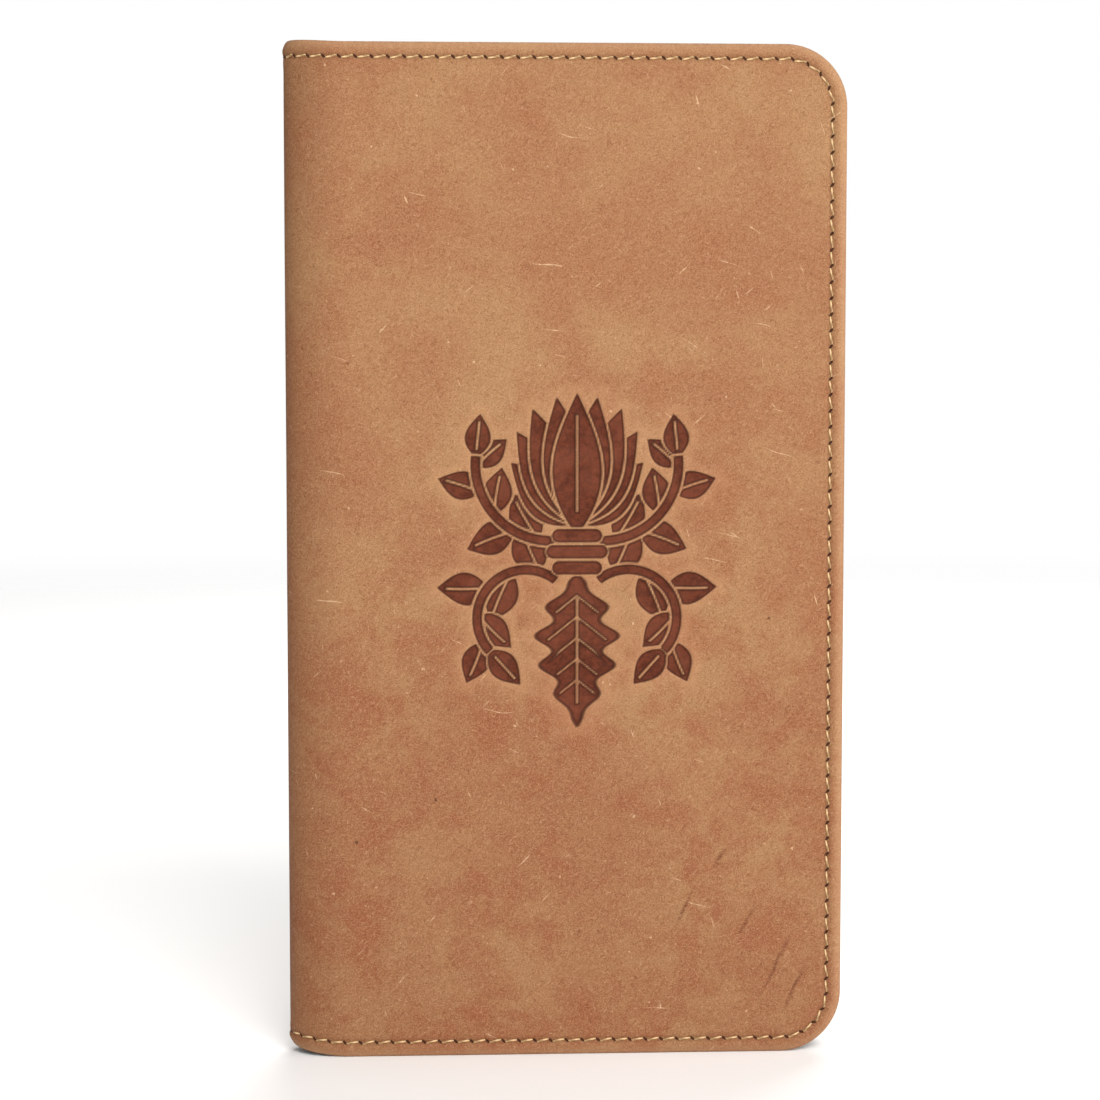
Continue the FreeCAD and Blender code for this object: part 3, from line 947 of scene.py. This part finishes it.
def leaves(material):
    """Each group of leaves is drawn as separate thin sheets, which aren't cut quite alike."""
    rng = np.random.default_rng(11)
    for node, body, group in PAGE_GROUPS:
        low, high = corners(node)
        step = (high.y - low.y - LEAF) / (LEAVES_PER_GROUP - 1)
        points, flat, faces = [], [], []
        for number in range(LEAVES_PER_GROUP):
            order = group * LEAVES_PER_GROUP + number
            nest = min(order, 4 * LEAVES_PER_GROUP - 1 - order)
            jitter = rng.normal(0, 0.05, 3)
            fore_x = corners("leaves_front_inner")[1].x - 0.6 + nest * 0.035 + jitter[0]
            tail, head = low.z + 0.1 + jitter[1], high.z - 0.1 + jitter[2]
            height = low.y + LEAF / 2 + number * step
            x, y = leaf_profile(height, nest, fore_x, tail / 19 + order)
            made = leaf_sheet(x, y, tail, head, order, len(points))
            for values, new in zip((points, flat, faces), made):
                values.extend(new)
        name = node.replace("leaves", "paper")
        piece = make_piece(name, points, faces, material, {"sheet": np.array(flat)})
        stand_for(piece, node, body=body)


# ---------------- materials

def colour(code):
    """A linear colour from a six-digit hex code."""
    parts = [int(code[i:i + 2], 16) / 255 for i in (0, 2, 4)]
    linear = [c / 12.92 if c <= 0.04045 else ((c + 0.055) / 1.055) ** 2.4 for c in parts]
    return (*linear, 1.0)


class Shader:
    """A material under construction, with short calls for the kinds of node used here."""

    def __init__(self, name):
        self.material = bpy.data.materials.new(name)
        self.material.use_nodes = True
        self.tree = self.material.node_tree
        self.surface = self.tree.nodes["Principled BSDF"]
        self.base = None

    def node(self, kind, inputs=None, **settings):
        node = self.tree.nodes.new("ShaderNode" + kind)
        for key, value in settings.items():
            setattr(node, key, value)
        for key, value in (inputs or {}).items():
            self.feed(node.inputs[key], value)
        return node

    def feed(self, socket, value):
        if isinstance(value, bpy.types.NodeSocket):
            self.tree.links.new(value, socket)
        else:
            socket.default_value = colour(value) if isinstance(value, str) else value

    def value(self, name):
        return self.node("Attribute", attribute_name=name).outputs["Fac"]

    def place(self):
        return self.node("Attribute", attribute_name="sheet").outputs["Vector"]

    def math(self, operation, first, second=0.0):
        return self.node("Math", {0: first, 1: second}, operation=operation).outputs[0]

    def times(self, first, second):
        return self.math("MULTIPLY", first, second)

    def stretched(self, place, turn, along, across):
        """Coordinates turned by degrees, then scaled along and across that direction."""
        inputs = {"Vector": place, "Angle": math.radians(turn)}
        turned = self.node("VectorRotate", inputs, rotation_type="Z_AXIS").outputs[0]
        scale = (along, across, 1.0)
        return self.node("VectorMath", {0: turned, 1: scale}, operation="MULTIPLY").outputs[0]

    def noise(self, place, scale, detail=4.0, roughness=0.55, distortion=0.0):
        inputs = {"Vector": place, "Scale": scale, "Detail": detail,
                  "Roughness": roughness, "Distortion": distortion}
        return self.node("TexNoise", inputs).outputs["Fac"]

    def cells(self, place, scale):
        return self.node("TexVoronoi", {"Vector": place, "Scale": scale}).outputs["Distance"]

    def ramp(self, value, low, high, start=0.0, end=1.0):
        """Goes softly from start to end as value goes from low to high."""
        inputs = {0: value, "From Min": low, "From Max": high, "To Min": start, "To Max": end}
        return self.node("MapRange", inputs, interpolation_type="SMOOTHSTEP").outputs["Result"]

    def mix(self, share, first, second):
        """Colours may also be given as hex codes."""
        node = self.node("Mix", data_type="RGBA")
        self.feed(node.inputs[0], share)
        self.feed(node.inputs[6], first)
        self.feed(node.inputs[7], second)
        return node.outputs[2]

    def tint(self, share, tone):
        """Mixes a colour into the base colour."""
        self.base = self.mix(share, self.base, tone)

    def specks(self, place, scale, size, share):
        """Round spots in some of the cells of a random pattern."""
        node = self.node("TexVoronoi", {"Vector": place, "Scale": scale})
        near = self.ramp(node.outputs["Distance"], size * 0.5, size, 1.0, 0.0)
        drawn = self.node("SeparateColor", {0: node.outputs["Color"]}).outputs[0]
        return self.times(near, self.ramp(drawn, 1 - share, 1.02 - share))

    def finish(self, roughness, height, sheen=0.0, specular=0.5):
        """Sets the surface; height is in millimetres."""
        bump = self.node("Bump", {"Height": height, "Strength": 1.0, "Distance": MM})
        self.feed(self.surface.inputs["Base Color"], self.base)
        self.feed(self.surface.inputs["Roughness"], roughness)
        self.feed(self.surface.inputs["Normal"], bump.outputs["Normal"])
        self.feed(self.surface.inputs["Sheen Weight"], sheen)
        self.feed(self.surface.inputs["Specular IOR Level"], specular)
        return self.material


def needle_holes(shader):
    """1 inside the slanted slits between stitches, 0 elsewhere."""
    along = shader.math("FRACT", shader.math("DIVIDE", shader.value("row"), PITCH))
    along = shader.times(shader.math("SUBTRACT", along, 0.5), PITCH)
    across = shader.math("SUBTRACT", shader.value("edge"), STITCH_INSET)
    both = shader.node("CombineXYZ", {0: along, 1: across}).outputs[0]
    slit = shader.stretched(both, 40, 1 / 0.6, 1 / 0.27)
    reach = shader.node("VectorMath", {0: slit}, operation="LENGTH").outputs["Value"]
    return shader.ramp(reach, 0.65, 1.1, 1.0, 0.0)


def wavy(shader, place, scale=0.12, reach=9.0):
    """Coordinates pushed about by a slow noise, so that straight marks come out curved."""
    push = shader.node("TexNoise", {"Vector": place, "Scale": scale}).outputs["Color"]
    pushed = shader.node(
        "VectorMath", {0: push, 1: (reach, reach, 0.0), 2: place}, operation="MULTIPLY_ADD",
    )
    return pushed.outputs[0]


def crease_shade(shader):
    """Painted shade of a few long creases that run up to the right near the lower fore-edge
    corner.
    """
    place = wavy(shader, shader.place(), 0.1, 2.5)
    ticks = shader.noise(shader.stretched(shader.place(), 0, 0.7, 2.4), 1.0, 3.0, 0.6)
    broken = shader.ramp(ticks, 0.4, 0.6, 0.3, 0.85)
    deepest = 0.0
    for inset, height, length in CREASES:
        centre = (COVER_LENGTH - inset, height, FRONT_LAYER)
        offset = shader.node("VectorMath", {0: place, 1: centre}, operation="SUBTRACT").outputs[0]
        local = shader.stretched(offset, -CREASE_SLOPE, 2 / length, 1 / CREASE_HALF_WIDTH)
        reach = shader.node("VectorMath", {0: local}, operation="LENGTH").outputs["Value"]
        deepest = shader.math("MAXIMUM", deepest, shader.ramp(reach, 0.0, 1.0, 1.0, 0.0))
    return shader.times(deepest, broken)


def leather_dye_and_shade(s, place, round_spine, height_up):
    """Cloudy patches, redder near the tail and darker near the spine, with a darker, redder
    painted shade towards the tail.
    """
    clouds = s.ramp(s.noise(place, 0.024, 4.0, 0.6, 0.6), 0.36, 0.66)
    patches = s.ramp(s.noise(place, 0.085, 9.0, 0.66, 0.5), 0.4, 0.68)
    s.base = s.mix(s.times(clouds, 0.8), "A37B53", "946140")
    reddened = s.ramp(height_up, 70.0, 165.0, 0.7, 0.3)
    s.tint(s.times(patches, reddened), "8C4A2C")
    # Painted shade that darkens the leather towards the tail, standing for light that falls from
    # above.
    s.tint(s.ramp(height_up, 0.0, 150.0, 0.22, 0.0), "7E4528")
    near_spine = s.ramp(round_spine, 8.0, 48.0, 0.2, 0.0)
    low_spine = s.times(near_spine, s.ramp(height_up, 60.0, 150.0, 1.0, 0.3))
    s.tint(low_spine, "74371C")


def leather_fibres(s, place, grain):
    """Torn fibres and fine grain, dark in their hollows and pale on their ridges."""
    curly = wavy(s, place, 0.35, 3.0)
    for turn in (12, -60):
        fibres = s.noise(s.stretched(curly, turn, 1.0, 3.4), 1.0, 5.0, 0.75, 1.2)
        s.tint(s.ramp(fibres, 0.3, 0.5, 0.6, 0.0), "6C3C25")
        s.tint(s.ramp(fibres, 0.5, 0.7, 0.0, 0.6), "B78D6B")
    s.tint(s.ramp(grain, 0.34, 0.5, 0.42, 0.0), "6B3C25")
    s.tint(s.ramp(grain, 0.52, 0.68, 0.0, 0.38), "BD9673")


def leather_marks(s, place):
    """Pale scratches where the leather is worn, pale flecks and dark specks."""
    worn = s.ramp(s.noise(place, 0.06, 3.0, 0.6), 0.38, 0.56, 0.2, 1.0)
    gently = wavy(s, place, 0.045, 9.0)
    faint = s.times(worn, s.ramp(s.noise(place, 0.9, 3.0, 0.7), 0.35, 0.62, 0.1, 0.6))
    for turn, length, share in SCRATCHES:
        bent = s.stretched(gently, turn, length, 0.6)
        s.tint(s.times(s.specks(bent, 1.0, 0.095, share), faint), "E3C09A")
    ragged = wavy(s, place, 1.2, 1.1)
    for scale, size, strength in ((0.2, 0.07, 0.5), (0.42, 0.1, 0.3), (0.8, 0.12, 0.2)):
        s.tint(s.times(s.specks(ragged, scale, size, 0.5), strength), "DDBB95")
    s.tint(s.times(s.specks(ragged, 0.08, 0.04, 0.5), 0.75), "4A2716")


def leather_stamp(s, place):
    """The ornament is burnt into the leather, with a darker outline and a paler halo."""
    stamp = s.value("stamp")
    pressed = s.ramp(stamp, -0.2, 0.3, 1.0, 0.0)
    burnt = s.mix(s.ramp(s.noise(place, 0.7, 5.0, 0.7), 0.35, 0.65), "441608", "5F2715")
    burnt = s.mix(s.ramp(s.noise(place, 0.11, 4.0, 0.6), 0.4, 0.62, 0.0, 0.4), burnt, "7A402C")
    s.tint(s.ramp(stamp, 0.2, 3.5, 0.3, 0.0), "B98862")
    s.tint(s.times(pressed, 0.95), burnt)
    outline = s.times(s.ramp(stamp, -0.42, -0.12), s.ramp(stamp, 0.02, 0.25, 1.0, 0.0))
    s.tint(s.times(outline, 0.62), "2E120A")


def leather_edges(s, holes):
    """Painted shade along the stitches and in their holes, a painted highlight on the rounded
    edge, grey at its rim.
    """
    edge = s.value("edge")
    # Painted shade in the valley that the stitches press in.
    valley = s.times(s.ramp(edge, 2.3, 3.2), s.ramp(edge, 3.4, 4.4, 1.0, 0.0))
    s.tint(s.times(valley, 0.3), "5F3920")
    # Painted highlight on the rounded edge.
    s.tint(s.ramp(edge, 0.3, 2.6, 0.35, 0.0), "BE9671")
    s.tint(s.times(s.ramp(edge, 0.0, 0.12, 1.0, 0.0), 0.55), "544034")
    # Painted shade inside the needle holes.
    s.tint(s.times(holes, 0.92), "38190B")


def tan_leather():
    """Waxed, scuffed tan leather with pores and the burnt ornament, painted shade in creases,
    along the stitches, towards the tail and at the spine, and a painted highlight on its rounded
    edges.
    """
    s = Shader("tan_leather")
    place = s.place()
    split = s.node("SeparateXYZ", {0: place})
    round_spine, height_up = split.outputs[0], split.outputs[1]
    grain = s.noise(place, 3.2, 3.0, 0.7, 0.6)
    holes = needle_holes(s)
    leather_dye_and_shade(s, place, round_spine, height_up)
    leather_fibres(s, place, grain)
    leather_marks(s, place)
    # Painted shade in the creases, which have no relief of their own.
    s.tint(crease_shade(s), "61301D")
    # Painted shade where the cover rounds over into the spine.
    s.tint(s.ramp(round_spine, 2.0, 19.0, 0.28, 0.0), "6A3D22")
    leather_stamp(s, place)
    leather_edges(s, holes)

    roughness = s.ramp(s.noise(place, 0.5, 4.0), 0.3, 0.7, 0.55, 0.72)
    pores = s.ramp(s.cells(place, 1.9), 0.0, 0.55, -0.035, 0.0)
    folds = s.times(s.noise(s.stretched(place, -62, 0.25, 0.9), 1.0, 5.0, 0.6, 1.0), 0.10)
    height = s.math("ADD", s.math("ADD", pores, s.times(grain, 0.2)), folds)
    height = s.math("SUBTRACT", height, s.times(holes, 0.5))
    return s.finish(roughness, height, specular=0.14)


def inner_leather():
    """Smooth dark tan leather for sleeves and pockets, darker and polished at its cut edges."""
    s = Shader("inner_leather")
    place = s.place()
    clouds = s.ramp(s.noise(place, 0.06, 5.0, 0.6, 0.5), 0.35, 0.65)
    s.base = s.mix(clouds, "A9703F", "8F5A33")
    grain = s.cells(place, 1.1)
    s.tint(s.ramp(grain, 0.0, 0.7, 0.0, 0.3), "6F4327")
    s.tint(s.ramp(s.value("edge"), 0.1, 0.5, 0.8, 0.0), "4E2C18")
    raised = s.ramp(grain, 0.0, 0.8, 0.05, 0.0)
    height = s.math("ADD", raised, s.times(s.noise(place, 3.0), 0.05))
    return s.finish(0.46, height, specular=0.45)


def lining_cloth():
    """Plain-woven cotton: crossing warp and weft threads."""
    s = Shader("lining_cloth")
    place = s.place()
    split = s.node("SeparateXYZ", {0: place})
    warp = s.math("SINE", s.times(split.outputs[0], 2 * math.pi / 0.55))
    weft = s.math("SINE", s.times(split.outputs[1], 2 * math.pi / 0.55))
    weave = s.times(warp, weft)
    slub = s.noise(s.stretched(place, 0, 0.12, 2.0), 1.0, 4.0)
    s.base = s.mix(s.ramp(slub, 0.35, 0.7), "6D4B31", "8B6543")
    s.tint(s.ramp(weave, -1.0, 0.2, 0.5, 0.0), "3E2919")
    return s.finish(0.85, s.times(weave, 0.06), sheen=0.3, specular=0.25)


def thread():
    """Waxed khaki thread, with painted highlight and shade in slanted bands along its plies."""
    s = Shader("thread")
    place = s.place()
    split = s.node("SeparateXYZ", {0: place})
    plies = s.math("SINE", s.math("ADD", split.outputs[0], split.outputs[1]))
    fuzz = s.noise(place, 3.0, 4.0, 0.7)
    # Painted highlight and shade in slanted bands along the twist of the plies.
    s.base = s.mix(s.ramp(plies, -1.0, 1.0), "A08058", "E2C090")
    s.tint(s.ramp(fuzz, 0.3, 0.6, 0.4, 0.0), "7C6438")
    return s.finish(0.6, s.times(plies, 0.03), specular=0.25)


def grey_board():
    s = Shader("board")
    place = s.place()
    fibres = s.noise(s.stretched(place, 15, 0.3, 1.6), 1.0, 6.0, 0.7)
    s.base = s.mix(s.ramp(fibres, 0.3, 0.7), "8B857B", "A7A095")
    return s.finish(0.9, s.times(fibres, 0.08))


def kraft_card():
    s = Shader("kraft_card")
    place = s.place()
    fibres = s.noise(s.stretched(place, 80, 0.4, 2.2), 1.0, 7.0, 0.75, 0.6)
    s.base = s.mix(s.ramp(fibres, 0.3, 0.7), "A88458", "C6A376")
    s.tint(s.times(s.specks(place, 0.6, 0.08, 0.5), 0.5), "70502F")
    return s.finish(0.82, s.times(fibres, 0.06), specular=0.3)


def paper():
    s = Shader("paper")
    place = s.place()
    fibres = s.noise(place, 1.4, 6.0, 0.7)
    tone = s.noise(s.stretched(place, 0, 0.02, 0.02), 1.0, 2.0)
    s.base = s.mix(s.ramp(tone, 0.35, 0.65), "C6BFAE", "BFB7A4")
    s.tint(s.ramp(fibres, 0.3, 0.7, 0.12, 0.0), "A59B82")
    return s.finish(0.88, s.times(fibres, 0.02), specular=0.25)


def staple_wire():
    s = Shader("staple_wire")
    drawn = s.noise(s.stretched(s.place(), 0, 0.2, 3.0), 1.0, 4.0)
    s.base = s.mix(drawn, "9C9C9E", "C9CACC")
    s.feed(s.surface.inputs["Metallic"], 1.0)
    return s.finish(s.ramp(drawn, 0.3, 0.7, 0.22, 0.4), s.times(drawn, 0.01))


# ---------------- floor, light and camera

def floor():
    """Pale floor that fades into the white surround."""
    s = Shader("pale_floor")
    where = s.node("NewGeometry").outputs["Position"]
    distance = s.node("VectorMath", {0: where}, operation="LENGTH").outputs["Value"]
    s.base = s.mix(s.noise(where, 3.0, 3.0), "F6F5F3", "F9F8F6")
    s.feed(s.surface.inputs["Alpha"], s.ramp(distance, 0.5, 1.6, 1.0, 0.0))
    material = s.finish(0.8, 0.0, specular=0.2)
    around = np.linspace(0, 2 * math.pi, 64, endpoint=False)
    rim = [(FLOOR_RADIUS * math.cos(turn), FLOOR_RADIUS * math.sin(turn), 0.0) for turn in around]
    mesh = bpy.data.meshes.new("floor")
    mesh.from_pydata(rim, [], [tuple(range(len(rim)))])
    mesh.materials.append(material)
    piece = bpy.data.objects.new("floor", mesh)
    bpy.context.scene.collection.objects.link(piece)


def surround():
    """White surround, which gives less light than its brightness in the picture."""
    world = bpy.data.worlds.new("surround")
    world.use_nodes = True
    bpy.context.scene.world = world
    tree = world.node_tree
    background = tree.nodes["Background"]
    background.inputs["Color"].default_value = (1.0, 1.0, 1.0, 1.0)
    path = tree.nodes.new("ShaderNodeLightPath")
    strength = tree.nodes.new("ShaderNodeMapRange")
    strength.inputs["To Min"].default_value = WORLD_LIGHT
    strength.inputs["To Max"].default_value = WORLD_SEEN
    tree.links.new(path.outputs["Is Camera Ray"], strength.inputs["Value"])
    tree.links.new(strength.outputs["Result"], background.inputs["Strength"])


def softboxes():
    """Soft lamps, all aimed at the middle of the cover."""
    for name, place, size, power in SOFTBOXES:
        lamp = bpy.data.lights.new(name, "AREA")
        lamp.shape = "RECTANGLE"
        lamp.size, lamp.size_y = size
        lamp.energy = power
        light = bpy.data.objects.new(name, lamp)
        light.location = place
        aim = np.array([0.0, 0.0, COVER_HEIGHT / 2 * MM]) - np.array(place)
        light.rotation_mode = "QUATERNION"
        light.rotation_quaternion = Vector(aim).to_track_quat("-Z", "Y")
        bpy.context.scene.collection.objects.link(light)


def camera():
    data = bpy.data.cameras.new("camera")
    data.lens = CAMERA_LENS
    seen = bpy.data.objects.new("camera", data)
    seen.location = [length * MM for length in CAMERA_PLACE]
    seen.rotation_euler = (math.radians(90 - CAMERA_PITCH), 0, math.radians(-CAMERA_YAW))
    bpy.context.scene.collection.objects.link(seen)
    bpy.context.scene.camera = seen


def build():
    sewing = thread()
    inner = inner_leather()
    card_board = grey_board()
    leather_covers(tan_leather())
    edge_stitching(sewing)
    boards(card_board)
    linings(lining_cloth())
    sleeves(inner)
    pockets(inner, sewing)
    cards(kraft_card())
    staples(staple_wire())
    leaves(paper())
    floor()
    surround()
    softboxes()
    camera()
    bpy.context.scene.view_settings.view_transform = "Standard"


build()
